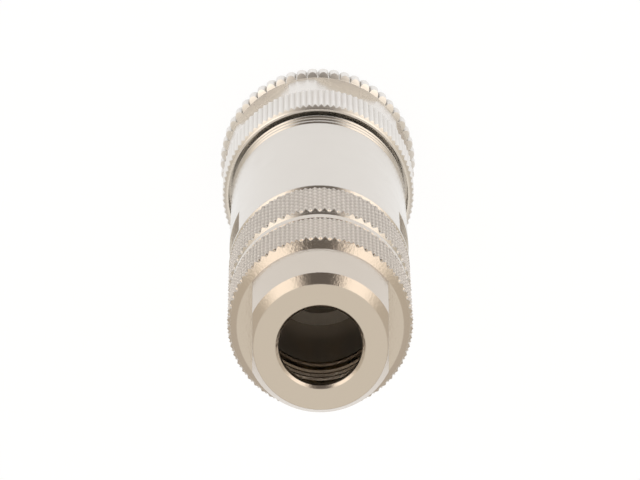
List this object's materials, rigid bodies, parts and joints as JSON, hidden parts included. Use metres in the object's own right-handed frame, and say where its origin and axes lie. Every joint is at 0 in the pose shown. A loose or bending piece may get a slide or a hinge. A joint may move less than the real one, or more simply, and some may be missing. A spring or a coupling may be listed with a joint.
{
  "type": "m12 connector",
  "caption": "Field-attachable female M12 cable connector: metal housing with knurled coupling nut, grip sleeve with spanner flats, and a cap nut that clamps the cable.",
  "frame": {"origin": "centre of the coupling nut's front face, which the part stands on", "axes": "+Z along the connector's axis, from the mating face up to the cable entry; the sleeve's spanner flats face +X and -X"},
  "size_m": [0.0206, 0.0206, 0.0552],
  "materials": {
    "nickel_nut": "bright nickel plating on turned brass",
    "nickel_shell": "bright nickel plating on turned brass",
    "nickel_sleeve": "bright nickel plating on turned brass",
    "nickel_cap": "bright nickel plating on turned brass",
    "spring_steel": "drawn spring wire",
    "black_rubber": "moulded rubber",
    "red_rubber": "moulded fluoro rubber",
    "grey_rubber": "moulded rubber",
    "black_insulator": "moulded glass-filled polyamide",
    "grey_insulator": "moulded polyamide",
    "pale_insulator": "moulded polyamide",
    "gold_contact": "gold plating on turned brass",
    "screw_steel": "zinc-plated steel",
    "shield_metal": "matt nickel plating on turned brass"
  },
  "bodies": {
    "insert": {"front_shell": "nickel_shell", "snap_ring": "spring_steel", "sleeve_seal": "black_rubber", "face_seal": "red_rubber", "contact_carrier": "black_insulator", "terminal_block": "black_insulator", "contact_1": "gold_contact", "contact_2": "gold_contact", "contact_3": "gold_contact", "contact_4": "gold_contact", "terminal_screws": "screw_steel"},
    "coupling_nut": {"coupling_nut": "nickel_nut"},
    "seal_stack": {"spacer_sleeve": "pale_insulator", "shield_ring_front": "shield_metal", "shield_ring_rear": "shield_metal", "cable_seal": "grey_rubber"},
    "sleeve": {"body_sleeve": "nickel_sleeve"},
    "clamp": {"clamping_cage": "grey_insulator"},
    "cap": {"cap_nut": "nickel_cap"}
  },
  "joints": [
    {"name": "nut_spin", "type": "hinge", "parent": "insert", "child": "coupling_nut", "pos_m": [0, 0, 0.0055], "axis": [0, 0, 1], "continuous": true},
    {"name": "sleeve_travel", "type": "slide", "parent": "insert", "child": "seal_stack", "axis": [0, 0, 1], "range_m": [0, 0.0035]},
    {"name": "sleeve_turn", "type": "hinge", "parent": "seal_stack", "child": "sleeve", "pos_m": [0, 0, 0.025], "axis": [0, 0, 1], "range_deg": [0, 1260]},
    {"name": "cap_travel", "type": "slide", "parent": "sleeve", "child": "clamp", "axis": [0, 0, 1], "range_m": [0, 0.006]},
    {"name": "cap_turn", "type": "hinge", "parent": "clamp", "child": "cap", "pos_m": [0, 0, 0.048], "axis": [0, 0, 1], "range_deg": [0, 2160]}
  ],
  "couplings": [
    {"joint": "sleeve_turn", "follows": "sleeve_travel", "rad_per_m": 6283},
    {"joint": "cap_turn", "follows": "cap_travel", "rad_per_m": 6283}
  ]
}
